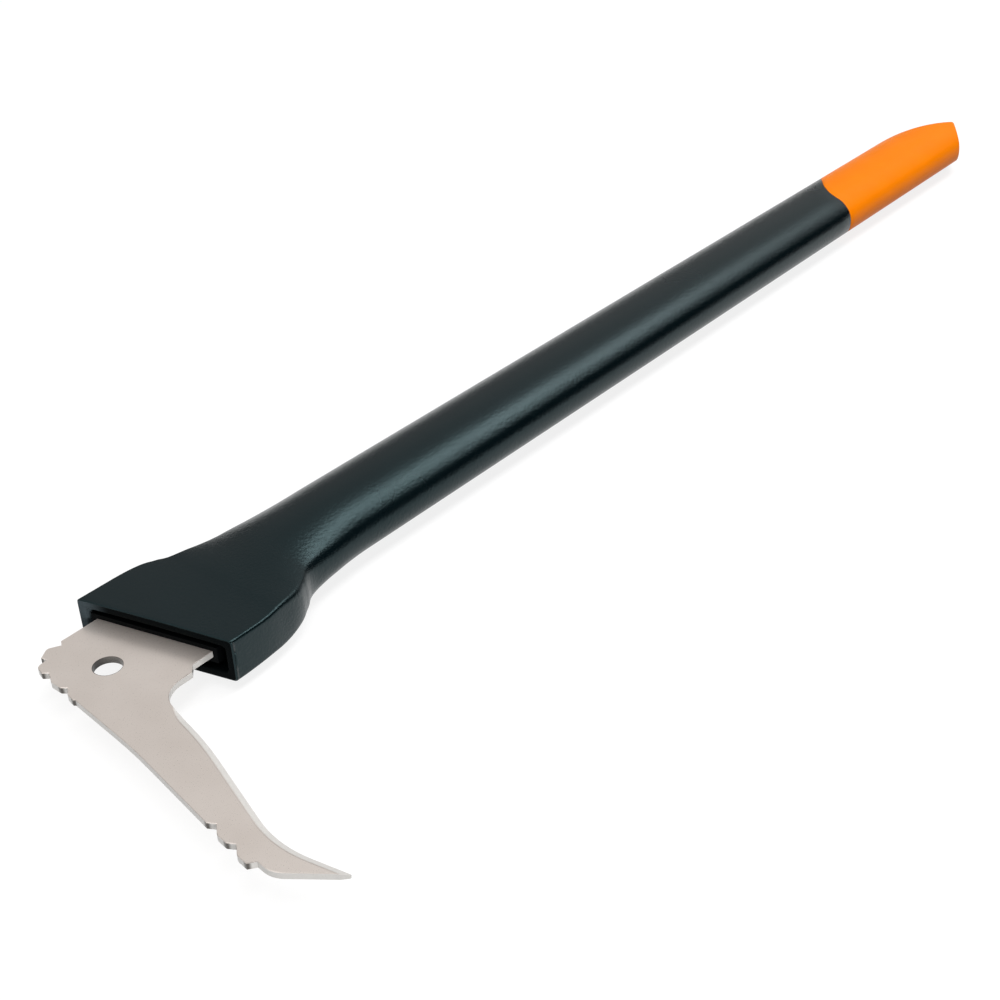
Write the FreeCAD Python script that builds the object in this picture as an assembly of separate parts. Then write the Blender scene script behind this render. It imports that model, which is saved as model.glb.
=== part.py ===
"""Pickaroon: a toothed steel hook blade held in the flared head of a long hollow handle.

Millimetres. The origin is the middle of the blade's round hole, half-way through the
plate. +X runs along the handle to the grip, -Y is the belly side that the spike points
to, +Y is the back, and +Z is square to the plate.
"""
import FreeCAD, Part
import math
import os

from FreeCAD import Vector

# Blade plate
plate_thickness = 2.6
hole_radius = 5.0
blade_back = 24.1
blade_shoulder = 24.7
edge_break = 0.2

# Butt of the blade, with saw steps round its corner
butt_forward = 16.5
butt_step_depth = 1.7
butt_step_run = 1.7
butt_lobe_radius = 2.2
# Tip of each butt tooth as shares of butt_forward and blade_back, then its bulge and its
# step as shares of butt_step_depth
butt_tooth_shares = (
    (0.05, 0.98, 0.00, 1.00),
    (0.64, 0.89, 1.50, 1.00),
    (0.94, 0.60, 1.45, 1.00),
    (1.00, 0.14, 0.75, 1.00),
    (1.09, -0.20, 0.50, 0.30),
)

# Spike, with saw steps along its outer edge near the point. Past the last tooth, each
# size is measured from the point before it: last tooth, nose, tip, beak
tooth_count = 3
tooth_pitch = 10.8
tooth_depth = 2.0
tooth_run = 2.4
tooth_bulge = 1.3
tooth_lobe_radius = 3.0
first_tooth_forward = 29.5
first_tooth_drop = 80.9
tooth_line_rake = 11.0
outer_bend_forward = 21.3
outer_bend_drop = 38.0
outer_bend_radius = 250.0
nose_setback = 1.7
nose_reach = 7.9
nose_radius = 9.0
tip_setback = 14.0
tip_reach = 19.2
tip_radius = 0.4
beak_forward = 4.8
beak_rise = 26.3
beak_radius = 44.0
inner_bend_forward = 5.3
inner_bend_drop = 54.0
inner_bend_radius = 150.0
throat_setback = 1.2
throat_radius = 10.5

# Bevel ground on both faces along the spike's inner edge, from the point to its run-out
bevel_width = 2.4
bevel_land = 0.6
bevel_run_out = 11.0
bevel_run_out_radius = 22.0
bevel_run_out_angle = 35.0

# Tang inside the head
tang_belly = 21.8
tang_step_start = 17.3
tang_step_end = 14.5
tang_parallel = 10.3
tang_shoulder_run = 13.0
tang_end_share = 0.7
tang_half_width = 11.0
tang_corner_radius = 4.0
key_hole_radius = 4.0
key_hole_shares = (0.40, 0.78)

# Mouth of the head
mouth_distance = 19.7
mouth_skew = 14.0
mouth_width = 61.0
mouth_height = 17.2
mouth_centre = -0.3
mouth_edge_radius = 1.2
mouth_face_radius = 1500.0
mouth_side_radius = 600.0
recess_depth = 8.0
recess_corner_radius = 1.6

# Shaft, an oval built from eight tangent arcs
shaft_width = 39.4
shaft_thickness = 25.6
shaft_centre = 3.9
shaft_face_radius = 26.0
shaft_side_radius = 11.0
shaft_edge_radius = 8.0
shell_wall = 3.0
# How full the oval still is where the grip starts, and from there on to the foot
waist_share = 0.965

# Neck between the mouth and the shaft
neck_start = 27.7
neck_length = 80.0
neck_lead = 8.0
neck_lead_count = 3
# Station along the neck, then how far the back, the belly, the thickness and the
# roundness have gone from the mouth's value to the shaft's
neck_shares = (
    (0.0, 0.000, 0.000, 0.00, 0.00),
    (0.1, 0.040, 0.005, 0.01, 0.01),
    (0.2, 0.380, 0.030, 0.08, 0.04),
    (0.3, 0.870, 0.100, 0.26, 0.09),
    (0.4, 0.935, 0.200, 0.44, 0.23),
    (0.5, 0.950, 0.450, 0.62, 0.43),
    (0.6, 0.955, 0.750, 0.78, 0.65),
    (0.7, 0.965, 0.850, 0.89, 0.81),
    (0.8, 0.975, 0.910, 0.95, 0.91),
    (0.9, 0.990, 0.965, 0.99, 0.98),
    (1.0, 1.000, 1.000, 1.00, 1.00),
)

# Core that is moulded round the tang, with a front wall and a rear rib in the socket
core_wall = 1.8
core_front_wall = 3.0
core_rib = 3.0
collar_setback = 0.8
socket_clearance = 0.25
fit_clearance = 0.1

# Grip end: where its swept joint line starts and how far it sweeps back
grip_start = 460.7
grip_sweep = 38.5
grip_wall = 2.6
spigot_gap = 2.0
spigot_wall = 2.6
spigot_lead = 16.0
grip_length = 138.0
foot_offset = -7.2
foot_back_rake = 61.0
foot_belly_rake = 50.0
foot_nose_radius = 1.0

# One overrun for every cutting tool
overrun = 20.0


def unit(vector):
    """The vector's direction, one long."""
    return vector * (1 / vector.Length)


def turned(vector):
    """The vector turned a quarter turn anticlockwise in the plate's plane."""
    return Vector(-vector.y, vector.x, 0)


def rounded_wire(corners, closed=True):
    """A wire through (point, radius) corners, each rounded by a tangent arc."""
    starts, arcs, ends = [], [], []
    for index, (point, radius) in enumerate(corners):
        if radius == 0:
            starts.append(point)
            arcs.append(None)
            ends.append(point)
            continue
        before = unit(corners[index - 1][0] - point)
        after = unit(corners[(index + 1) % len(corners)][0] - point)
        half_angle = before.getAngle(after) / 2
        reach = radius / math.tan(half_angle)
        centre = point + unit(before + after) * (radius / math.sin(half_angle))
        start = point + before * reach
        end = point + after * reach
        middle = centre + unit(point - centre) * radius
        starts.append(start)
        arcs.append(Part.Arc(start, middle, end).toShape())
        ends.append(end)
    edges = []
    for index, arc in enumerate(arcs):
        if arc is not None:
            edges.append(arc)
        if closed or index + 1 < len(arcs):
            following = starts[(index + 1) % len(starts)]
            edges.append(Part.makeLine(ends[index], following))
    return Part.Wire(edges)


def slab(wire, thickness):
    """A plate of the outline, centred on the plate's middle plane."""
    outline = wire.copy()
    outline.translate(Vector(0, 0, -thickness / 2))
    return Part.Face(outline).extrude(Vector(0, 0, thickness))


def upright_pin(x, y, radius, length):
    """A cylinder square to the plate, centred on its middle plane."""
    return Part.makeCylinder(radius, length, Vector(x, y, -length / 2))


def saw_root(tip, following, depth, run):
    """The root behind a tooth's tip: a step inwards, a little further along."""
    along = unit(following - tip)
    return tip + turned(along) * depth + along * run


def lobe_between(root, tip, bulge):
    """The point that a tooth's edge bulges out to, half-way from root to tip."""
    along = unit(tip - root)
    return (root + tip) * 0.5 - turned(along) * bulge


def mouth_plane_x(y):
    """X of the skewed mouth plane at y."""
    return mouth_distance - (y - mouth_centre) * math.tan(math.radians(mouth_skew))


def butt_corners(edge_end):
    """The butt's outline from the back edge round to the spike's outer edge."""
    corners = []
    tips = [Vector(-x * butt_forward, y * blade_back, 0) for x, y, bulge, step in butt_tooth_shares]
    for index, (x, y, bulge, step) in enumerate(butt_tooth_shares):
        if corners:
            lobe = lobe_between(corners[-1][0], tips[index], bulge * butt_step_depth)
            corners.append((lobe, butt_lobe_radius))
        following = (tips + [edge_end])[index + 1]
        root = saw_root(tips[index], following, step * butt_step_depth, step * butt_step_run)
        corners += [(tips[index], 0), (root, 0)]
    return corners


def tooth_tips():
    """The tips of the saw teeth on the spike's outer edge."""
    rake = math.radians(tooth_line_rake)
    pitch = Vector(-math.sin(rake), -math.cos(rake), 0) * tooth_pitch
    first = Vector(-first_tooth_forward, -first_tooth_drop, 0)
    return [first + pitch * index for index in range(tooth_count)]


def nose_corner():
    """The corner past the last tooth, where the outer edge turns to the point."""
    return tooth_tips()[-1] + Vector(nose_setback, -nose_reach, 0)


def inner_edge_corners():
    """The point, the beak behind it, the inner edge's bend and the throat."""
    point = nose_corner() + Vector(tip_setback, -tip_reach, 0)
    return [
        (point, tip_radius),
        (point + Vector(-beak_forward, beak_rise, 0), beak_radius),
        (Vector(-inner_bend_forward, -inner_bend_drop, 0), inner_bend_radius),
        (Vector(throat_setback, -blade_shoulder, 0), throat_radius),
    ]


def spike_corners():
    """The spike's outline: outer edge, its teeth, the point and the inner edge."""
    tips = tooth_tips()
    nose = nose_corner()
    corners = [(Vector(-outer_bend_forward, -outer_bend_drop, 0), outer_bend_radius)]
    for index, tip in enumerate(tips):
        if index > 0:
            lobe = lobe_between(corners[-1][0], tip, tooth_bulge)
            corners.append((lobe, tooth_lobe_radius))
        following = (tips + [nose])[index + 1]
        corners += [(tip, 0), (saw_root(tip, following, tooth_depth, tooth_run), 0)]
    return corners + [(nose, nose_radius)] + inner_edge_corners()


def bevel_cutter():
    """A wedge along the inner edge, from past the point up to where it runs out sideways."""
    (point, _), beak, bend, (throat, _) = inner_edge_corners()
    start = point + unit(point - beak[0]) * overrun
    along = unit(throat - bend[0])
    turn = throat - along * bevel_run_out
    angle = math.radians(bevel_run_out_angle)
    off = along * math.cos(angle) - turned(along) * math.sin(angle)
    end = turn + off * bevel_run_out
    path = rounded_wire([(start, 0), beak, bend, (turn, bevel_run_out_radius), (end, 0)], False)
    inward = turned(unit(beak[0] - start))
    rise = (plate_thickness - bevel_land) / 2
    deep = start - inward * bevel_width + Vector(0, 0, bevel_land / 2 - rise)
    shallow = start + inward * bevel_width * 2 + Vector(0, 0, bevel_land / 2 + rise * 2)
    clear = Vector(deep.x, deep.y, shallow.z)
    wedge = Part.makePolygon([deep, shallow, clear, deep])
    return path.makePipeShell([wedge], True, False)


def neck_x(share):
    """X of a place along the neck."""
    return neck_start + neck_length * share


def tang_corners():
    """The tang's outline from its belly shoulder round its end to its back shoulder."""
    shoulder = mouth_distance + tang_parallel
    waist = shoulder + tang_shoulder_run
    end = neck_x(tang_end_share)
    low = shaft_centre - tang_half_width
    high = shaft_centre + tang_half_width
    outline = (
        (shoulder, -tang_belly),
        (waist, low),
        (end, low),
        (end, high),
        (waist, high),
        (shoulder, blade_back),
    )
    return [(Vector(x, y, 0), tang_corner_radius) for x, y in outline]


def key_hole_places():
    """The two holes in the tang, on the line from the blade's middle to the tang's end."""
    tang_length = neck_x(tang_end_share) - mouth_distance
    return [(mouth_distance + tang_length * share, shaft_centre * share) for share in key_hole_shares]


def make_hook_blade():
    """The plate: toothed butt, hanging hole, spike with a toothed point, and tang."""
    outer_bend = Vector(-outer_bend_forward, -outer_bend_drop, 0)
    shoulder = [
        (Vector(tang_step_end, -blade_shoulder, 0), 0),
        (Vector(tang_step_start, -tang_belly, 0), 0),
    ]
    corners = butt_corners(outer_bend) + spike_corners() + shoulder + tang_corners()
    blade = slab(rounded_wire(corners), plate_thickness)
    rims = []
    for edge in blade.Edges:
        middle = edge.valueAt((edge.FirstParameter + edge.LastParameter) / 2)
        on_face = abs(abs(middle.z) - plate_thickness / 2) < fit_clearance
        if on_face and middle.x < tang_step_end:
            rims.append(edge)
    blade = blade.makeChamfer(edge_break, rims)
    bevel = bevel_cutter()
    blade = blade.cut(bevel).cut(bevel.mirror(Vector(), Vector(0, 0, 1)))
    blade = blade.cut(upright_pin(0, 0, hole_radius, plate_thickness + overrun))
    for x, y in key_hole_places():
        blade = blade.cut(upright_pin(x, y, key_hole_radius, plate_thickness + overrun))
    return blade


def oval_wire(x, back, belly, half_thickness, face_radius, side_radius, edge_radius):
    """A closed oval of eight tangent arcs, square to X: two faces, two sides, four edges."""
    half_width = (back - belly) / 2
    centre_y = (back + belly) / 2
    face_centre = Vector(0, 0, half_thickness - face_radius)
    side_centre = Vector(0, half_width - side_radius, 0)
    to_face = face_radius - edge_radius
    to_side = side_radius - edge_radius
    apart = (side_centre - face_centre).Length
    toward = unit(side_centre - face_centre)
    along = (to_face ** 2 - to_side ** 2 + apart ** 2) / (2 * apart)
    aside = math.sqrt(to_face ** 2 - along ** 2)
    edge_centre = face_centre + toward * along + Vector(0, toward.z, -toward.y) * aside
    face_way = unit(edge_centre - face_centre)
    side_way = unit(edge_centre - side_centre)
    on_face = edge_centre + face_way * edge_radius
    on_side = edge_centre + side_way * edge_radius
    on_edge = edge_centre + unit(face_way + side_way) * edge_radius

    def place(point, side_sign, face_sign):
        return Vector(x, centre_y + point.y * side_sign, point.z * face_sign)

    top = Vector(0, 0, half_thickness)
    flank = Vector(0, half_width, 0)
    runs = [
        (place(on_face, -1, 1), place(top, 1, 1), place(on_face, 1, 1)),
        (place(on_face, 1, 1), place(on_edge, 1, 1), place(on_side, 1, 1)),
        (place(on_side, 1, 1), place(flank, 1, 1), place(on_side, 1, -1)),
        (place(on_side, 1, -1), place(on_edge, 1, -1), place(on_face, 1, -1)),
        (place(on_face, 1, -1), place(top, 1, -1), place(on_face, -1, -1)),
        (place(on_face, -1, -1), place(on_edge, -1, -1), place(on_side, -1, -1)),
        (place(on_side, -1, -1), place(flank, -1, 1), place(on_side, -1, 1)),
        (place(on_side, -1, 1), place(on_edge, -1, 1), place(on_face, -1, 1)),
    ]
    return Part.Wire([Part.Arc(*run).toShape() for run in runs])


def between(mouth_value, shaft_value, share):
    """A value on its way from the mouth's to the shaft's."""
    return mouth_value + (shaft_value - mouth_value) * share


def bent_between(mouth_radius, shaft_radius, share):
    """A radius whose curvature is on its way from the mouth's to the shaft's."""
    return 1 / between(1 / mouth_radius, 1 / shaft_radius, share)


def neck_wire(x, back_share, belly_share, thick_share, round_share, inset):
    """The head's section at x, drawn in by inset for the socket inside it."""
    shaft_back = shaft_centre + shaft_width / 2
    shaft_belly = shaft_centre - shaft_width / 2
    back = between(mouth_centre + mouth_width / 2, shaft_back, back_share)
    belly = between(mouth_centre - mouth_width / 2, shaft_belly, belly_share)
    half = between(mouth_height / 2, shaft_thickness / 2, thick_share)
    face_radius = bent_between(mouth_face_radius, shaft_face_radius, round_share)
    side_radius = bent_between(mouth_side_radius, shaft_side_radius, round_share)
    edge_radius = between(mouth_edge_radius, shaft_edge_radius, round_share)
    if inset > 0:
        edge_radius = between(recess_corner_radius, shaft_edge_radius - inset, round_share)
    return oval_wire(
        x,
        back - inset,
        belly + inset,
        half - inset,
        face_radius - inset,
        side_radius - inset,
        edge_radius,
    )


def neck_form(inset):
    """The flared head, straight before and after its stations; ruled where it is a socket."""
    first = neck_shares[0][1:]
    last = neck_shares[-1][1:]
    stations = []
    for lead in range(neck_lead_count, 0, -1):
        stations.append((neck_start - neck_lead * lead,) + first)
    for station in neck_shares:
        stations.append((neck_x(station[0]),) + station[1:])
    stations.append((neck_x(1) + neck_lead,) + last)
    wires = [neck_wire(*station, inset) for station in stations]
    return Part.makeLoft(wires, True, inset > 0)


def shaft_wire(x, share, inset):
    """The shaft's oval at x, filled to the share and drawn in by inset."""
    return oval_wire(
        x,
        shaft_centre + shaft_width / 2 * share - inset,
        shaft_centre - shaft_width / 2 * share + inset,
        shaft_thickness / 2 * share - inset,
        shaft_face_radius * share - inset,
        shaft_side_radius * share - inset,
        shaft_edge_radius * share - inset,
    )


def taper_form(start, end):
    """The shaft where it slims from the neck's oval to the waist's."""
    wires = [shaft_wire(start, 1, 0), shaft_wire(end, waist_share, 0)]
    return Part.makeLoft(wires, True, True)


def waist_form(start, end, inset):
    """A straight length of the waist's oval, drawn in by inset."""
    face = Part.Face(shaft_wire(start, waist_share, inset))
    return face.extrude(Vector(end - start, 0, 0))


def tall_prism(wire):
    """A cutting tool of the outline, as tall as the handle and past it."""
    return slab(wire, shaft_thickness + overrun)


def in_front_of_mouth(setback):
    """All that lies in front of the mouth's skewed plane, moved into the head by setback."""
    reach = mouth_width / 2 + overrun
    back = mouth_centre + reach
    belly = mouth_centre - reach
    front = mouth_plane_x(back) - neck_length
    corners = [
        (Vector(mouth_plane_x(back) + setback, back, 0), 0),
        (Vector(front, back, 0), 0),
        (Vector(front, belly, 0), 0),
        (Vector(mouth_plane_x(belly) + setback, belly, 0), 0),
    ]
    return tall_prism(rounded_wire(corners))


def grip_region():
    """All that lies on the grip's side of the swept joint line."""
    belly = shaft_centre - shaft_width / 2
    back = shaft_centre + shaft_width / 2
    sweep = Part.BezierCurve()
    sweep.setPoles([
        Vector(grip_start, belly, 0),
        Vector(grip_start, shaft_centre, 0),
        Vector(grip_start + grip_sweep, back, 0),
    ])
    corners = [
        Vector(grip_start + grip_sweep, back, 0),
        Vector(grip_start + grip_sweep, back + overrun, 0),
        Vector(grip_start + grip_length + overrun, back + overrun, 0),
        Vector(grip_start + grip_length + overrun, belly - overrun, 0),
        Vector(grip_start, belly - overrun, 0),
        Vector(grip_start, belly, 0),
    ]
    sides = [Part.makeLine(a, b) for a, b in zip(corners, corners[1:])]
    return tall_prism(Part.Wire([sweep.toShape()] + sides))


def foot_run(rake, width):
    """How far a foot face with the rake runs back along the grip over a width."""
    return width * math.tan(math.radians(rake))


def foot_region():
    """All that lies short of the foot's two raked faces and its narrow nose."""
    nose = Vector(grip_start + grip_length, shaft_centre + foot_offset, 0)
    reach = shaft_width + overrun
    corners = [
        (nose, foot_nose_radius),
        (nose + Vector(-foot_run(foot_back_rake, reach), reach, 0), 0),
        (Vector(neck_start, nose.y + reach, 0), 0),
        (Vector(neck_start, nose.y - reach, 0), 0),
        (nose + Vector(-foot_run(foot_belly_rake, reach), -reach, 0), 0),
    ]
    return tall_prism(rounded_wire(corners))


def sleeve_end():
    """X of the hollow's end in the grip, one wall short of where the back face starts."""
    back_run = foot_run(foot_back_rake, shaft_width / 2 - foot_offset)
    return grip_start + grip_length - back_run - grip_wall


def make_handle_shell():
    """Black handle: flared head with its mouth, hollow oval shaft, and a spigot for the grip."""
    shaft_start = neck_x(1) + neck_lead
    spigot_end = sleeve_end() - spigot_gap
    step = grip_start - spigot_lead
    outside = neck_form(0).fuse(taper_form(shaft_start, grip_start))
    outside = outside.fuse(waist_form(grip_start, grip_start + grip_sweep, 0))
    outside = outside.cut(in_front_of_mouth(0)).cut(grip_region())
    spigot = waist_form(step, spigot_end, grip_wall + fit_clearance)
    hollow = neck_form(shell_wall).fuse(waist_form(shaft_start, step, shell_wall))
    bore = waist_form(step - shell_wall, spigot_end + overrun, grip_wall + spigot_wall)
    return outside.fuse(spigot).cut(hollow).cut(bore).removeSplitter()


def tang_block(growth, height):
    """The tang's outline carried forward past the mouth, grown all round, as a block."""
    reach = mouth_plane_x(blade_back) - overrun
    front = [(Vector(reach, blade_back, 0), 0), (Vector(reach, -tang_belly, 0), 0)]
    face = Part.Face(rounded_wire(front + tang_corners())).makeOffset2D(growth)
    return slab(face.OuterWire, height)


def tang_slot():
    """Room for the tang in the core, with the two pegs that key it left standing."""
    slot = tang_block(fit_clearance, plate_thickness + 2 * fit_clearance)
    for x, y in key_hole_places():
        slot = slot.cut(upright_pin(x, y, key_hole_radius - fit_clearance, shaft_thickness))
    return slot


def socket_block(x, station, length):
    """A straight block that fits the socket's section at one of the neck's stations."""
    wire = neck_wire(x, *station[1:], shell_wall + socket_clearance)
    return Part.Face(wire).extrude(Vector(length, 0, 0))


def make_tang_core():
    """Core round the tang: a sleeve from the mouth back, a front wall and a rear rib."""
    sleeve = tang_block(core_wall, plate_thickness + 2 * core_wall)
    sleeve = sleeve.cut(in_front_of_mouth(collar_setback))
    front_wall = socket_block(neck_start - neck_lead * neck_lead_count, neck_shares[0], neck_length)
    front_wall = front_wall.cut(in_front_of_mouth(recess_depth))
    front_wall = front_wall.common(in_front_of_mouth(recess_depth + core_front_wall))
    rib_station = next(station for station in neck_shares if station[0] >= tang_end_share)
    rib = socket_block(neck_x(tang_end_share) - core_rib, rib_station, core_rib)
    return sleeve.fuse(front_wall).fuse(rib).cut(tang_slot()).removeSplitter()


def make_grip_end():
    """Orange grip end: a sleeve on the spigot, closed by a solid foot with raked faces."""
    foot_end = grip_start + grip_length
    outside = waist_form(grip_start, foot_end + overrun, 0).common(grip_region())
    outside = outside.common(foot_region())
    inside = waist_form(grip_start - overrun, sleeve_end(), grip_wall)
    return outside.cut(inside)


pieces = {
    "hook_blade": make_hook_blade(),
    "handle_shell": make_handle_shell(),
    "tang_core": make_tang_core(),
    "grip_end": make_grip_end(),
}

os.makedirs("parts", exist_ok=True)
for name, piece in pieces.items():
    piece.exportStep("parts/" + name + ".step")
    box = piece.BoundBox
    print(name, "solids", len(piece.Solids), "valid", piece.isValid(), "volume", round(piece.Volume))
    print("  box", [round(v, 1) for v in (box.XMin, box.XMax, box.YMin, box.YMax, box.ZMin, box.ZMax)])
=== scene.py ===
"""Looks of the pickaroon: satin black handle, orange grip end, fine-grained steel hook blade.

Metres, in the frame of the part: the blade's round hole is the origin, +X runs along the
handle to the grip, -Y is the belly side that the spike points to, +Y is the back.
"""
import math

import bpy
from mathutils import Matrix, Vector


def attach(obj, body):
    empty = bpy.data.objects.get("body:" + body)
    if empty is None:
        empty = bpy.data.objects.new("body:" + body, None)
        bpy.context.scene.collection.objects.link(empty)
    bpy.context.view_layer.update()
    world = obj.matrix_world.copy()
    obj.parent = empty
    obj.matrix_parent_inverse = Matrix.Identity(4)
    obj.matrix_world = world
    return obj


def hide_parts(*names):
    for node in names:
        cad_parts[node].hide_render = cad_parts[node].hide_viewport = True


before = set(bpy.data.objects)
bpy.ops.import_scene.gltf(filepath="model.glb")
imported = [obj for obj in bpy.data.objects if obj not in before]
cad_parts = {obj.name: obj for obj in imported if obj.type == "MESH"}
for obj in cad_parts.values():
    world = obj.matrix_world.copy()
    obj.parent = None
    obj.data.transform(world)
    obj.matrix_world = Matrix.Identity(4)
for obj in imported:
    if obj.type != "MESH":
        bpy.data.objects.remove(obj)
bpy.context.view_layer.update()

mm = 0.001
quarter_turn = math.pi / 2

# Camera of the photograph
camera_place = Vector((-229.04, -369.73, 320.29)) * mm
camera_azimuth = -49.19
camera_elevation = 32.25
camera_roll = 2.56
camera_lens = 57.56
camera_sensor = 36.0

# Mouth of the head
mouth_distance = 19.7 * mm
mouth_skew = math.radians(14.0)
mouth_width = 61.0 * mm
mouth_height = 17.2 * mm
mouth_centre = -0.3 * mm
mouth_edge_radius = 1.2 * mm
mouth_face_radius = 1500.0 * mm
mouth_side_radius = 600.0 * mm
recess_corner_radius = 1.6 * mm
lip_radius = 0.45 * mm

# Shaft
shaft_width = 39.4 * mm
shaft_thickness = 25.6 * mm
shaft_centre = 3.9 * mm
shaft_face_radius = 26.0 * mm
shaft_side_radius = 11.0 * mm
shaft_edge_radius = 8.0 * mm
waist_share = 0.965
shell_wall = 3.0 * mm

# Neck: how far the back, the belly, the thickness and the roundness have gone from the
# mouth's value to the shaft's at each tenth of its length
neck_start = 27.7 * mm
neck_length = 80.0 * mm
back_shares = (0, 0.04, 0.38, 0.87, 0.935, 0.95, 0.955, 0.965, 0.975, 0.99, 1)
belly_shares = (0, 0.005, 0.03, 0.10, 0.20, 0.45, 0.75, 0.85, 0.91, 0.965, 1)
thickness_shares = (0, 0.01, 0.08, 0.26, 0.44, 0.62, 0.78, 0.89, 0.95, 0.99, 1)
roundness_shares = (0, 0.01, 0.04, 0.09, 0.23, 0.43, 0.65, 0.81, 0.91, 0.98, 1)

# Grip end; the joint's shares are of its sweep, at each tenth of the width from the belly
joint_shares = (0.055, 0.095, 0.118, 0.113, 0.145, 0.225, 0.34, 0.49, 0.65, 0.82, 1)
grip_start = 460.7 * mm
grip_sweep = 38.5 * mm
grip_length = 138.0 * mm
grip_wall = 2.6 * mm
joint_radius = 0.4 * mm
foot_offset = -7.2 * mm
foot_back_rake = math.radians(61.0)
foot_belly_rake = math.radians(50.0)
foot_nose_radius = 1.0 * mm
foot_edge_radius = 0.35 * mm
foot_solid = 51.0 * mm

# Floor and softboxes of the studio: metres, and watts for the lamps
floor_reach = 20.0
floor_glow = 0.84
floor_paint = (0.19, 0.19, 0.19, 1)
softboxes = {  # place, target, width, height, power
    "key softbox": ((0.68, -0.32, 1.33), (0.68, 0.0, 0.0), 2.4, 0.46, 20.0),
    "fill softbox": ((-1.1, 0.6, 1.5), (0.2, 0.0, 0.0), 1.4, 1.4, 4.0),
    "belly softbox": ((-0.5, -1.5, 0.22), (0.3, 0.0, 0.0), 1.4, 0.4, 15.0),
}

# Brightness of the studio's walls at shares of the half turn from the belly side's horizon
# up over the handle to the back side's horizon
wall_levels = (
    (0.00, 0.00), (0.34, 0.00), (0.44, 1.20), (0.52, 0.78), (0.62, 0.57),
    (0.775, 0.51), (1.00, 0.10),
)

# Blade: its hole, the thin rim round it that takes the hole wall's painted shade, and the heights
# off the middle where the sheared edge ends and the face begins
hole_radius = 5.05 * mm
hole_rim = 5.25 * mm
edge_height = 0.95 * mm
face_height = 1.25 * mm

# Tips of the teeth, from the hole, and how far the painted shade reaches round them
tooth_tips = [(x * mm, y * mm) for x, y in (
    (-0.8, 23.6), (-10.6, 21.4), (-15.5, 14.5), (-16.5, 3.4),
    (-18.0, -4.8), (-29.5, -80.9), (-31.6, -91.5), (-33.6, -102.1),
)]
tip_shade_core = 0.5 * mm
tip_shade_reach = 1.7 * mm

# Where the painted light lies on the mouth's back wall near the lip: depth from the mouth, and y
painted_light_depth = (1.0 * mm, 8.0 * mm)
painted_light_side = (17.0 * mm, 28.0 * mm)

# Colours of the finishes, as a darker and a lighter one where the surface is mottled, and of the
# painted light and shade
handle_black = (0.0005, 0.0026, 0.0036, 1), (0.0009, 0.0035, 0.0046, 1)
grip_orange = (0.82, 0.192, 0.0005, 1), (0.86, 0.206, 0.001, 1)
core_black = (0.0012, 0.0016, 0.0018, 1), (0.002, 0.0025, 0.003, 1)
lining_black = (0.0010, 0.0018, 0.0022, 1), (0.0016, 0.0028, 0.0032, 1)
# painted light on the mouth's back wall
lining_painted_light = (0.065, 0.085, 0.095, 1)
steel_face = (0.79, 0.71, 0.65, 1), (0.86, 0.78, 0.72, 1)
steel_scuff = (0.58, 0.53, 0.49, 1)
steel_edge = (0.64, 0.62, 0.59, 1), (0.76, 0.74, 0.71, 1)
# painted shade round the teeth's tips
steel_tip_shade = (0.10, 0.09, 0.08, 1)
# painted light and painted shade on the hole's wall: the lit side, then the shaded side
hole_wall_light_and_shade = (0.17, 0.155, 0.14, 1), (0.035, 0.032, 0.03, 1)
plain_tint = (1, 1, 1, 1)
teal_tint = (0.62, 1.0, 1.06, 1)

# Patterns of the finishes: grains per metre, and how high the relief is
mottle_scale = 60.0
gloss_scale = 25.0
moulded_grain_scale = 850.0
moulded_grain_height = 0.14 * mm
lining_grain_scale = 2600.0
lining_grain_height = 0.03 * mm
steel_grain_scale = 3200.0
steel_grain_height = 0.005 * mm
steel_cloud_scale = 45.0
scuff_scale = 420.0
scuff_span = (0.62, 0.75)
scuff_share = 0.08

# Gloss of the steel from sheared edge to face, and the turn round the hole where the
# painted light on its wall goes over into painted shade
steel_metallic = (0.15, 0.75)
steel_roughness = (0.27, 0.32)
hole_wall_shade_turn = (0.5, 2.0)

# Points closer than this are one point
weld = 0.01 * mm


class Field:
    """A number that a node tree works out, with plain arithmetic on it."""

    def __init__(self, tree, socket):
        self.tree = tree
        self.socket = socket

    def __add__(self, other):
        return sums(self.tree, "ADD", self, other)

    def __radd__(self, other):
        return sums(self.tree, "ADD", other, self)

    def __sub__(self, other):
        return sums(self.tree, "SUBTRACT", self, other)

    def __rsub__(self, other):
        return sums(self.tree, "SUBTRACT", other, self)

    def __mul__(self, other):
        return sums(self.tree, "MULTIPLY", self, other)

    def __rmul__(self, other):
        return sums(self.tree, "MULTIPLY", other, self)

    def __truediv__(self, other):
        return sums(self.tree, "DIVIDE", self, other)

    def __rtruediv__(self, other):
        return sums(self.tree, "DIVIDE", other, self)


def plug(tree, value, socket):
    """Sets a socket to a number or colour, or links a field or another socket to it."""
    if isinstance(value, Field):
        tree.links.new(value.socket, socket)
    elif isinstance(value, bpy.types.NodeSocket):
        tree.links.new(value, socket)
    else:
        socket.default_value = value


def sums(tree, operation, *values):
    """A math node on numbers or fields."""
    node = tree.nodes.new("ShaderNodeMath")
    node.operation = operation
    for value, socket in zip(values, node.inputs):
        plug(tree, value, socket)
    return Field(tree, node.outputs[0])


def sine(angle):
    return sums(angle.tree, "SINE", angle)


def cosine(angle):
    return sums(angle.tree, "COSINE", angle)


def root(value):
    return sums(value.tree, "SQRT", sums(value.tree, "MAXIMUM", value, 0.0))


def tangent(angle):
    return sums(angle.tree, "TANGENT", angle)


def angle_of(side, ahead):
    return sums(side.tree, "ARCTAN2", side, ahead)


def stage(row, first, count):
    """From 0 at the first row to 1 at count rows further on, and level before and after."""
    node = row.tree.nodes.new("ShaderNodeMapRange")
    node.clamp = True
    plug(row.tree, row, node.inputs["Value"])
    node.inputs["From Min"].default_value = first
    node.inputs["From Max"].default_value = first + count
    return Field(row.tree, node.outputs["Result"])


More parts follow.
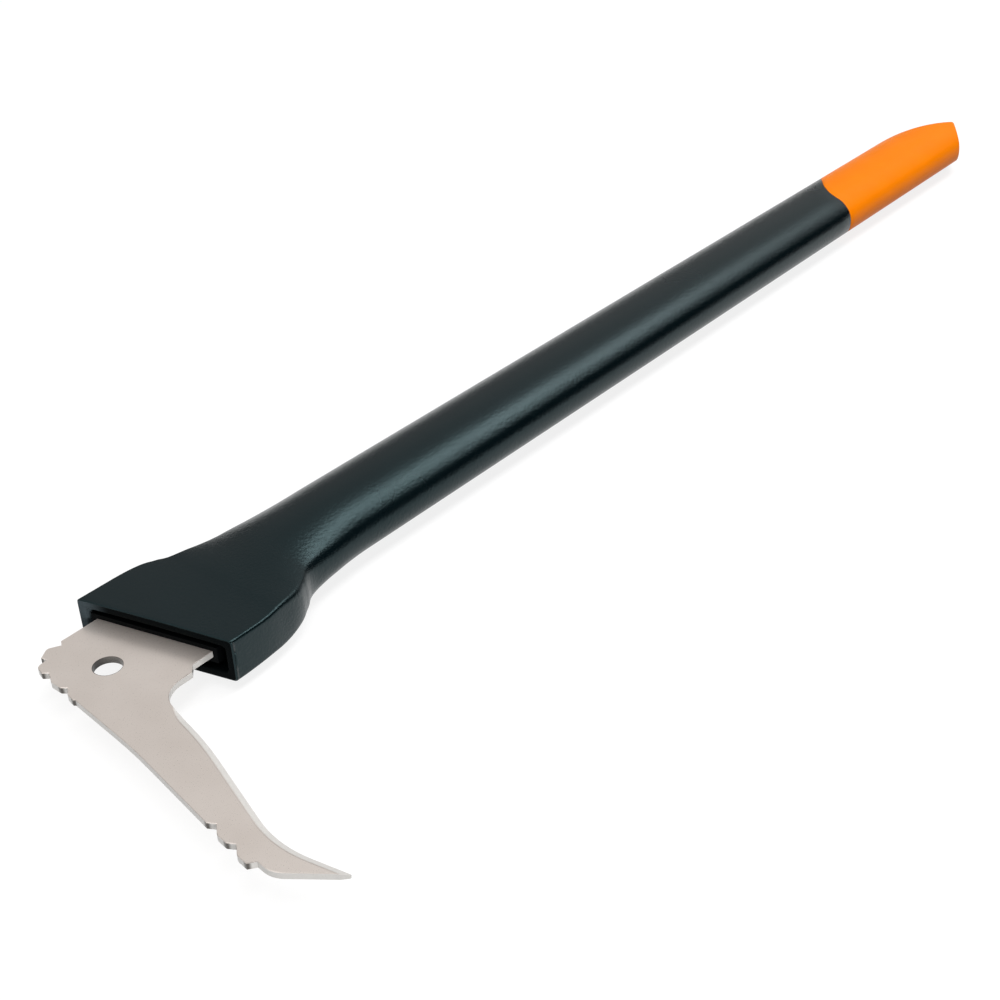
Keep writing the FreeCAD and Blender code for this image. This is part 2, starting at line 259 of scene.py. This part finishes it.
def along_curve(share, values):
    """The value at a share of a run, on a smooth curve through evenly spaced values."""
    node = share.tree.nodes.new("ShaderNodeFloatCurve")
    plug(share.tree, share, node.inputs["Value"])
    points = node.mapping.curves[0].points
    points[0].location = (0, values[0])
    points[1].location = (1, values[-1])
    for index in range(1, len(values) - 1):
        points.new(index / (len(values) - 1), values[index])
    node.mapping.update()
    return Field(share.tree, node.outputs["Value"])


def between(start, end, share):
    return start + (end - start) * share


def named_sizes(tree, sizes):
    """A named input of the tree for each size, as fields."""
    entry = tree.nodes.new("NodeGroupInput")
    fields = []
    for label, value in sizes.items():
        socket = tree.interface.new_socket(label, in_out="INPUT", socket_type="NodeSocketFloat")
        socket.default_value = value
        fields.append(Field(tree, entry.outputs[label]))
    return fields


def mouth_sizes():
    return {
        "Mouth distance": mouth_distance,
        "Mouth skew": mouth_skew,
        "Mouth width": mouth_width,
        "Mouth height": mouth_height,
        "Mouth centre": mouth_centre,
        "Mouth edge radius": mouth_edge_radius,
        "Mouth face radius": mouth_face_radius,
        "Mouth side radius": mouth_side_radius,
        "Recess corner radius": recess_corner_radius,
        "Lip radius": lip_radius,
        "Neck start": neck_start,
        "Neck length": neck_length,
    }


def shaft_sizes():
    return {
        "Shaft width": shaft_width,
        "Shaft thickness": shaft_thickness,
        "Shaft centre": shaft_centre,
        "Shaft face radius": shaft_face_radius,
        "Shaft side radius": shaft_side_radius,
        "Shaft edge radius": shaft_edge_radius,
        "Waist share": waist_share,
        "Grip start": grip_start,
        "Grip sweep": grip_sweep,
        "Joint radius": joint_radius,
    }


def oval(column, counts, back, belly, half_thickness, face_radius, side_radius, edge_radius):
    """Y and Z of a column round an oval of eight tangent arcs: two faces, two sides, four edges."""
    faces, edges, sides = counts
    quarter = faces + edges + sides
    place = sums(column.tree, "PINGPONG", column, quarter)
    half_width = (back - belly) / 2
    face_z = half_thickness - face_radius
    side_y = half_width - side_radius
    to_face = face_radius - edge_radius
    to_side = side_radius - edge_radius
    apart = root(face_z * face_z + side_y * side_y)
    along = (to_face * to_face - to_side * to_side + apart * apart) / (2 * apart)
    aside = root(to_face * to_face - along * along)
    toward_y = side_y / apart
    toward_z = -1 * face_z / apart
    edge_y = toward_y * along + toward_z * aside
    edge_z = face_z + toward_z * along - toward_y * aside
    face_end = angle_of(edge_y, edge_z - face_z)
    edge_end = angle_of(edge_y - side_y, edge_z)
    on_face = face_end * stage(place, 0, faces)
    on_edge = face_end + (edge_end - face_end) * stage(place, faces, edges)
    on_side = edge_end + (quarter_turn - edge_end) * stage(place, faces + edges, sides)
    y = face_radius * sine(on_face) + edge_radius * (sine(on_edge) - sine(face_end))
    y = y + side_radius * (sine(on_side) - sine(edge_end))
    z = face_z + face_radius * cosine(on_face)
    z = z + edge_radius * (cosine(on_edge) - cosine(face_end))
    z = z + side_radius * (cosine(on_side) - cosine(edge_end))
    y_sign = 1 - 2 * sums(column.tree, "GREATER_THAN", column, 2.0 * quarter)
    from_bottom = sums(column.tree, "ABSOLUTE", column - 2.0 * quarter)
    z_sign = 1 - 2 * sums(column.tree, "LESS_THAN", from_bottom, float(quarter))
    return (back + belly) / 2 + y * y_sign, z * z_sign


def lattice(tree, row_count, column_count):
    """A grid of points, with each point's row and column as fields."""
    grid = tree.nodes.new("GeometryNodeMeshGrid")
    grid.inputs["Vertices X"].default_value = row_count
    grid.inputs["Vertices Y"].default_value = column_count
    index = Field(tree, tree.nodes.new("GeometryNodeInputIndex").outputs[0])
    row = sums(tree, "FLOOR", (index + 0.5) / column_count)
    return grid.outputs["Mesh"], row, index - row * column_count


def placed(tree, mesh, x, y, z):
    """The grid with every point put at x, y, z."""
    spot = tree.nodes.new("ShaderNodeCombineXYZ")
    for value, socket in zip((x, y, z), spot.inputs):
        plug(tree, value, socket)
    move = tree.nodes.new("GeometryNodeSetPosition")
    tree.links.new(mesh, move.inputs["Geometry"])
    tree.links.new(spot.outputs[0], move.inputs["Position"])
    return move.outputs["Geometry"]


def closed_piece(tree, meshes, material):
    """The grids joined, welded at their seams, shaded smooth and given the material."""
    flow = list(meshes)
    for kind, settings in (
        ("GeometryNodeJoinGeometry", {}),
        ("GeometryNodeMergeByDistance", {"Distance": weld}),
        ("GeometryNodeSetShadeSmooth", {}),
        ("GeometryNodeRealizeInstances", {}),
        ("GeometryNodeSetMaterial", {"Material": material}),
    ):
        node = tree.nodes.new(kind)
        for label, value in settings.items():
            node.inputs[label].default_value = value
        for socket in flow:
            tree.links.new(socket, node.inputs[0])
        flow = [node.outputs[0]]
    return flow[0]


def lined(tree, mesh, column_count, first_skin_row, last_skin_row, material):
    """Gives the faces before the first and after the last skin row a material of their own."""
    index = Field(tree, tree.nodes.new("GeometryNodeInputIndex").outputs[0])
    row = sums(tree, "FLOOR", (index + 0.5) / (column_count - 1))
    before = sums(tree, "LESS_THAN", row, float(first_skin_row))
    after = sums(tree, "GREATER_THAN", row, last_skin_row - 0.5)
    node = tree.nodes.new("GeometryNodeSetMaterial")
    node.inputs["Material"].default_value = material
    tree.links.new(mesh, node.inputs["Geometry"])
    plug(tree, sums(tree, "MAXIMUM", before, after), node.inputs["Selection"])
    return node.outputs["Geometry"]


def ended(tree, mesh):
    """Ends the tree with the mesh."""
    tree.interface.new_socket("Geometry", in_out="OUTPUT", socket_type="NodeSocketGeometry")
    end = tree.nodes.new("NodeGroupOutput")
    tree.links.new(mesh, end.inputs[0])


def joint_x(y, belly, width, start, sweep):
    """X of the swept joint line between handle and grip at y."""
    return start + sweep * along_curve((y - belly) / width, joint_shares)


def handle_tree(material, lining):
    """The handle as one closed wall: lip, flared head, shaft, joint, and back inside to the lip."""
    tree = bpy.data.node_groups.new("Handle wall", "GeometryNodeTree")
    sizes = named_sizes(tree, {**mouth_sizes(), **shaft_sizes(), "Wall": shell_wall})
    (mouth, skew, m_width, m_height, m_centre, m_edge, m_face, m_side, r_corner, lip,
     n_start, n_length, width, thickness, centre, face, side, edge, waist,
     g_start, g_sweep, joint, wall) = sizes
    counts = (16, 10, 8)
    column_count = 4 * sum(counts) + 1
    rows = {}
    total = 0
    for label, count in (
        ("inner lip", 4), ("lip face", 1), ("outer lip", 5), ("lead", 6), ("neck", 90),
        ("shaft", 40), ("joint edge", 3), ("joint face", 1), ("inner shaft", 6),
        ("inner neck", 24), ("inner lead", 2),
    ):
        rows[label] = (total, count)
        total += count
    mesh, row, column = lattice(tree, total + 1, column_count)
    step = {label: stage(row, *span) for label, span in rows.items()}
    inner_turn = step["inner lip"] * quarter_turn
    outer_turn = step["outer lip"] * quarter_turn
    joint_turn = step["joint edge"] * quarter_turn
    inset = wall - lip * (1 - cosine(inner_turn)) - (wall - 2 * lip) * step["lip face"]
    inset = inset - lip * sine(outer_turn) + joint * (1 - cosine(joint_turn))
    inset = inset + (wall - joint) * step["joint face"]
    station = step["neck"] - step["inner neck"]
    round_share = along_curve(station, roundness_shares)
    full = 1 - (1 - waist) * (step["shaft"] - step["inner shaft"])
    m_back = m_centre + m_width / 2
    m_belly = m_centre - m_width / 2
    s_back = centre + width * full / 2
    s_belly = centre - width * full / 2
    back = between(m_back, s_back, along_curve(station, back_shares)) - inset
    belly = between(m_belly, s_belly, along_curve(station, belly_shares)) + inset
    height = between(m_height, thickness * full, along_curve(station, thickness_shares))
    half = height / 2 - inset
    face_now = 1 / between(1 / m_face, 1 / (face * full), round_share) - inset
    side_now = 1 / between(1 / m_side, 1 / (side * full), round_share) - inset
    m_edge_now = m_edge + (r_corner + wall - m_edge) * (inset / wall)
    edge_now = between(m_edge_now, edge * full, round_share) - inset
    y, z = oval(column, counts, back, belly, half, face_now, side_now, edge_now)
    mouth_x = mouth - (y - m_centre) * tangent(skew)
    joint_line = joint_x(y, centre - width / 2, width, g_start, g_sweep)
    n_end = n_start + n_length
    x = mouth_x + lip - lip * sine(inner_turn) + lip * (1 - cosine(outer_turn))
    x = x + (n_start - mouth_x - lip) * (step["lead"] - step["inner lead"])
    x = x + n_length * station
    x = x + (joint_line - joint - n_end) * step["shaft"] + joint * sine(joint_turn)
    x = x - (joint_line - n_end) * step["inner shaft"]
    whole = closed_piece(tree, [placed(tree, mesh, x, y, z)], material)
    skin_rows = rows["outer lip"][0], rows["joint face"][0]
    ended(tree, lined(tree, whole, column_count, *skin_rows, lining))
    return tree


def foot_x(y, nose_x, nose_y, back_rake, belly_rake, radius):
    """X of the foot at y: two raked faces that meet in a narrow round nose."""
    tree = y.tree
    off = y - nose_y
    flat = sums(tree, "MAXIMUM", off * tangent(back_rake), -1 * off * tangent(belly_rake))
    middle = radius * (cosine(back_rake) - cosine(belly_rake)) / sine(back_rake + belly_rake)
    depth = (radius + middle * sine(back_rake)) / cosine(back_rake)
    aside = off - middle
    on_nose = sums(tree, "LESS_THAN", aside, radius * sine(back_rake))
    on_nose = on_nose * sums(tree, "GREATER_THAN", aside, -1 * radius * sine(belly_rake))
    return nose_x + between(-1 * flat, root(radius * radius - aside * aside) - depth, on_nose)


def grip_tree(material):
    """The grip end as one closed sleeve: joint, skin, rounded foot edge, and the foot's faces."""
    tree = bpy.data.node_groups.new("Grip sleeve", "GeometryNodeTree")
    foot_sizes = {
        "Wall": grip_wall,
        "Grip length": grip_length,
        "Foot offset": foot_offset,
        "Foot back rake": foot_back_rake,
        "Foot belly rake": foot_belly_rake,
        "Foot nose radius": foot_nose_radius,
        "Foot edge radius": foot_edge_radius,
        "Foot solid": foot_solid,
    }
    sizes = named_sizes(tree, {**shaft_sizes(), **foot_sizes})
    (width, thickness, centre, face, side, edge, waist, g_start, g_sweep, joint,
     wall, length, offset, back_rake, belly_rake, nose, foot_edge, solid) = sizes
    counts = (40, 14, 14)
    quarter = sum(counts)
    rows = {}
    total = 0
    for label, count in (
        ("inner end", 1), ("inside", 4), ("joint face", 1), ("joint edge", 3),
        ("skin", 30), ("foot edge", 6),
    ):
        rows[label] = (total, count)
        total += count
    s_back = centre + width * waist / 2
    s_belly = centre - width * waist / 2
    nose_x = g_start + length
    nose_y = centre + offset

    def section(inset, column):
        return oval(
            column, counts, s_back - inset, s_belly + inset, thickness * waist / 2 - inset,
            face * waist - inset, side * waist - inset, edge * waist - inset,
        )

    mesh, row, column = lattice(tree, total + 1, 4 * quarter + 1)
    step = {label: stage(row, *span) for label, span in rows.items()}
    joint_turn = step["joint edge"] * quarter_turn
    foot_turn = step["foot edge"] * quarter_turn
    inset = wall - (wall - joint) * step["joint face"] - joint * sine(joint_turn)
    inset = inset + foot_edge * (1 - cosine(foot_turn))
    y, z = section(inset, column)
    foot = foot_x(y, nose_x, nose_y, back_rake, belly_rake, nose)
    joint_line = joint_x(y, centre - width / 2, width, g_start, g_sweep)
    x = nose_x - solid + (joint_line - nose_x + solid) * step["inside"]
    x = x + joint * (1 - cosine(joint_turn))
    x = x + (foot - foot_edge - joint_line - joint) * step["skin"] + foot_edge * sine(foot_turn)
    spread = step["inner end"]
    sleeve = placed(tree, mesh, x, centre + (y - centre) * spread, z * spread)

    cross_count = 12
    cap, cross, half_column = lattice(tree, cross_count + 1, 2 * quarter + 1)
    y, z = section(foot_edge, half_column + quarter)
    x = foot_x(y, nose_x, nose_y, back_rake, belly_rake, nose)
    foot_face = placed(tree, cap, x, y, z * (2 * cross / cross_count - 1))
    ended(tree, closed_piece(tree, (sleeve, foot_face), material))
    return tree


def grown(name, tree):
    """A plain mesh object from a node tree that makes its own geometry."""
    seed = bpy.data.objects.new(name + "_seed", bpy.data.meshes.new(name + "_seed"))
    bpy.context.scene.collection.objects.link(seed)
    modifier = seed.modifiers.new("Form", "NODES")
    modifier.node_group = tree
    for item in tree.interface.items_tree:
        if item.item_type == "SOCKET" and item.in_out == "INPUT":
            modifier[item.identifier] = item.default_value
    graph = bpy.context.evaluated_depsgraph_get()
    mesh = bpy.data.meshes.new_from_object(seed.evaluated_get(graph))
    mesh.name = name
    bpy.data.objects.remove(seed)
    piece = bpy.data.objects.new(name, mesh)
    bpy.context.scene.collection.objects.link(piece)
    return piece


def new_material(name):
    """An empty node material and its main shader."""
    material = bpy.data.materials.new(name)
    material.use_nodes = True
    return material, material.node_tree, material.node_tree.nodes["Principled BSDF"]


def object_place(tree):
    return tree.nodes.new("ShaderNodeTexCoord").outputs["Object"]


def noise(tree, place, scale, detail, roughness=0.5):
    """A soft random pattern from 0 to 1 with grains of about 1 / scale metres."""
    node = tree.nodes.new("ShaderNodeTexNoise")
    tree.links.new(place, node.inputs["Vector"])
    node.inputs["Scale"].default_value = scale
    node.inputs["Detail"].default_value = detail
    node.inputs["Roughness"].default_value = roughness
    return Field(tree, node.outputs["Fac"])


def spread_between(value, low, high):
    """The pattern's middle range stretched to run from low to high."""
    node = value.tree.nodes.new("ShaderNodeMapRange")
    plug(value.tree, value, node.inputs["Value"])
    node.inputs["From Min"].default_value = 0.3
    node.inputs["From Max"].default_value = 0.7
    node.inputs["To Min"].default_value = low
    node.inputs["To Max"].default_value = high
    return Field(value.tree, node.outputs["Result"])


def blended(tree, share, first, second):
    """Two colours mixed by a share."""
    node = tree.nodes.new("ShaderNodeMix")
    node.data_type = "RGBA"
    plug(tree, share, node.inputs["Factor"])
    plug(tree, first, node.inputs[6])
    plug(tree, second, node.inputs[7])
    return node.outputs[2]


def bumped(tree, shader, height, distance):
    """Fine relief on the surface, as high as distance where the pattern goes from 0 to 1."""
    node = tree.nodes.new("ShaderNodeBump")
    plug(tree, height, node.inputs["Height"])
    node.inputs["Distance"].default_value = distance
    tree.links.new(node.outputs["Normal"], shader.inputs["Normal"])


def mottled(tree, place, colours):
    """Two near colours in soft patches."""
    patches = spread_between(noise(tree, place, mottle_scale, 4.0), 0.0, 1.0)
    return blended(tree, patches, *colours)


def moulded_plastic(name, colours, specular, tint, roughness):
    """Satin moulded plastic: fine spark-eroded texture, faint mottling, slightly uneven gloss."""
    material, tree, shader = new_material(name)
    place = object_place(tree)
    plug(tree, mottled(tree, place, colours), shader.inputs["Base Color"])
    cloud = noise(tree, place, gloss_scale, 3.0)
    plug(tree, spread_between(cloud, *roughness), shader.inputs["Roughness"])
    shader.inputs["Specular IOR Level"].default_value = specular
    shader.inputs["Specular Tint"].default_value = tint
    grain = noise(tree, place, moulded_grain_scale, 4.0, 0.6)
    bumped(tree, shader, grain, moulded_grain_height)
    return material


def eased(value, low, high):
    """0 below low, 1 above high, and a soft step between them."""
    node = value.tree.nodes.new("ShaderNodeMapRange")
    node.interpolation_type = "SMOOTHSTEP"
    plug(value.tree, value, node.inputs["Value"])
    node.inputs["From Min"].default_value = low
    node.inputs["From Max"].default_value = high
    return Field(value.tree, node.outputs["Result"])


def blade_steel():
    """Fine-grained steel: pale blasted faces, greyer sheared edges, painted shade at tooth tips,
    painted light and shade in the hole.
    """
    material, tree, shader = new_material("blasted blade steel with painted light and shade")
    place = object_place(tree)
    split = tree.nodes.new("ShaderNodeSeparateXYZ")
    tree.links.new(place, split.inputs[0])
    x, y, z = (Field(tree, split.outputs[axis]) for axis in "XYZ")
    grain = noise(tree, place, steel_grain_scale, 3.0, 0.6)
    cloud = noise(tree, place, steel_cloud_scale, 5.0)
    scuffs = noise(tree, place, scuff_scale, 4.0, 0.7)
    faces = blended(tree, spread_between(cloud, 0, 1), *steel_face)
    faces = blended(tree, eased(scuffs, *scuff_span) * scuff_share, faces, steel_scuff)
    off_middle = sums(tree, "ABSOLUTE", z)
    on_face = eased(off_middle, edge_height, face_height)
    edges = blended(tree, scuffs, *steel_edge)
    # Painted shade on the sheared edge round each tooth's tip
    tip_shade = None
    for tip_x, tip_y in tooth_tips:
        off_x, off_y = x - tip_x, y - tip_y
        near = 1 - eased(root(off_x * off_x + off_y * off_y), tip_shade_core, tip_shade_reach)
        tip_shade = near if tip_shade is None else sums(tree, "MAXIMUM", tip_shade, near)
    edges = blended(tree, tip_shade, edges, steel_tip_shade)
    skin = blended(tree, on_face, edges, faces)
    # Painted light and shade round the hole's wall, turning from the lit side to the shaded side
    hole_wall_shading = blended(tree, eased(angle_of(y, x), *hole_wall_shade_turn), *hole_wall_light_and_shade)
    off_hole = eased(root(x * x + y * y), hole_radius, hole_rim)
    plug(tree, blended(tree, off_hole, hole_wall_shading, skin), shader.inputs["Base Color"])
    plug(tree, between(*steel_metallic, on_face), shader.inputs["Metallic"])
    plug(tree, spread_between(grain, *steel_roughness), shader.inputs["Roughness"])
    bumped(tree, shader, grain, steel_grain_height)
    return material


def mouth_lining():
    """The handle's plastic inside the mouth: painted light on the back wall near the lip, black
    further in.
    """
    material, tree, shader = new_material("mouth lining plastic with painted light")
    place = object_place(tree)
    split = tree.nodes.new("ShaderNodeSeparateXYZ")
    tree.links.new(place, split.inputs[0])
    x, y = (Field(tree, split.outputs[axis]) for axis in "XY")
    depth = x + (y - mouth_centre) * math.tan(mouth_skew) - mouth_distance
    # Painted light on the back wall near the lip, fading out further in
    lit = (1 - eased(depth, *painted_light_depth)) * eased(y, *painted_light_side)
    deep = mottled(tree, place, lining_black)
    plug(tree, blended(tree, lit, deep, lining_painted_light), shader.inputs["Base Color"])
    cloud = noise(tree, place, gloss_scale, 3.0)
    plug(tree, spread_between(cloud, 0.5, 0.6), shader.inputs["Roughness"])
    shader.inputs["Specular IOR Level"].default_value = 0.02
    bumped(tree, shader, noise(tree, place, lining_grain_scale, 2.0), lining_grain_height)
    return material


handle_material = moulded_plastic("handle plastic", handle_black, 0.33, teal_tint, (0.24, 0.28))
lining_material = mouth_lining()
grip_material = moulded_plastic("grip plastic", grip_orange, 0.05, plain_tint, (0.36, 0.42))
core_material = moulded_plastic("core plastic", core_black, 0.03, plain_tint, (0.55, 0.7))
steel_material = blade_steel()

handle = grown("handle_skin", handle_tree(handle_material, lining_material))
grip = grown("grip_sleeve", grip_tree(grip_material))
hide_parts("handle_shell")
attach(handle, "root")
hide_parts("grip_end")
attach(grip, "root")

for node, material in (("hook_blade", steel_material), ("tang_core", core_material)):
    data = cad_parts[node].data
    data.materials.clear()
    data.materials.append(material)


def make_camera():
    """The camera at the photograph's place."""
    camera = bpy.data.objects.new("Camera", bpy.data.cameras.new("Camera"))
    bpy.context.scene.collection.objects.link(camera)
    camera.data.sensor_width = camera_sensor
    camera.data.lens = camera_lens
    camera.data.clip_start = 0.01
    camera.matrix_world = (
        Matrix.Translation(camera_place)
        @ Matrix.Rotation(math.radians(camera_azimuth), 4, "Z")
        @ Matrix.Rotation(math.radians(90 - camera_elevation), 4, "X")
        @ Matrix.Rotation(math.radians(-camera_roll), 4, "Z")
    )
    bpy.context.scene.camera = camera


def make_floor():
    """A white floor that the handle lies on, which keeps a faint shadow."""
    level = -shaft_thickness / 2
    ways = ((-1, -1), (1, -1), (1, 1), (-1, 1))
    corners = [(floor_reach * x, floor_reach * y, level) for x, y in ways]
    mesh = bpy.data.meshes.new("floor")
    mesh.from_pydata(corners, [], [(0, 1, 2, 3)])
    floor = bpy.data.objects.new("floor", mesh)
    bpy.context.scene.collection.objects.link(floor)
    material, tree, shader = new_material("white floor")
    tree.nodes.remove(shader)
    rays = tree.nodes.new("ShaderNodeLightPath")
    seen = Field(tree, rays.outputs["Is Camera Ray"]) + Field(tree, rays.outputs["Is Glossy Ray"])
    seen = seen + Field(tree, rays.outputs["Is Transmission Ray"])
    glow = tree.nodes.new("ShaderNodeEmission")
    plug(tree, seen * floor_glow, glow.inputs["Strength"])
    paint = tree.nodes.new("ShaderNodeBsdfDiffuse")
    paint.inputs["Color"].default_value = floor_paint
    both = tree.nodes.new("ShaderNodeAddShader")
    tree.links.new(glow.outputs[0], both.inputs[0])
    tree.links.new(paint.outputs[0], both.inputs[1])
    tree.links.new(both.outputs[0], tree.nodes["Material Output"].inputs["Surface"])
    mesh.materials.append(material)


def make_softbox(name, place, target, width, height, power):
    """A soft rectangular lamp that faces its target."""
    lamp = bpy.data.lights.new(name, "AREA")
    lamp.shape = "RECTANGLE"
    lamp.size = width
    lamp.size_y = height
    lamp.energy = power
    holder = bpy.data.objects.new(name, lamp)
    bpy.context.scene.collection.objects.link(holder)
    holder.location = place
    holder.rotation_euler = (Vector(target) - Vector(place)).to_track_quat("-Z", "Y").to_euler()


def make_world():
    """Studio walls that lie along the handle: pale at the back side, dark at the belly side.

    The camera sees them white past the floor, and the gloss mirrors them as they are.
    """
    world = bpy.data.worlds.new("studio")
    bpy.context.scene.world = world
    world.use_nodes = True
    tree = world.node_tree
    split = tree.nodes.new("ShaderNodeSeparateXYZ")
    tree.links.new(tree.nodes.new("ShaderNodeTexCoord").outputs["Generated"], split.inputs[0])
    belly_way = -1 * Field(tree, split.outputs["Y"])
    turn = angle_of(Field(tree, split.outputs["Z"]), belly_way) / math.pi
    ramp = tree.nodes.new("ShaderNodeValToRGB")
    tree.links.new(turn.socket, ramp.inputs[0])
    stops = ramp.color_ramp.elements
    first, *later = wall_levels
    stops[0].position, stops[0].color = first[0], (first[1],) * 3 + (1,)
    stops.remove(stops[1])
    for place, level in later:
        stops.new(place).color = (level,) * 3 + (1,)
    rays = tree.nodes.new("ShaderNodeLightPath")
    seen = sums(tree, "MAXIMUM", rays.outputs["Is Camera Ray"], rays.outputs["Is Transmission Ray"])
    walls = blended(tree, seen, ramp.outputs[0], (1, 1, 1, 1))
    tree.links.new(walls, tree.nodes["Background"].inputs["Color"])


make_camera()
make_floor()
for name, (place, target, width, height, power) in softboxes.items():
    make_softbox(name, place, target, width, height, power)
make_world()
bpy.context.scene.view_settings.view_transform = "Standard"
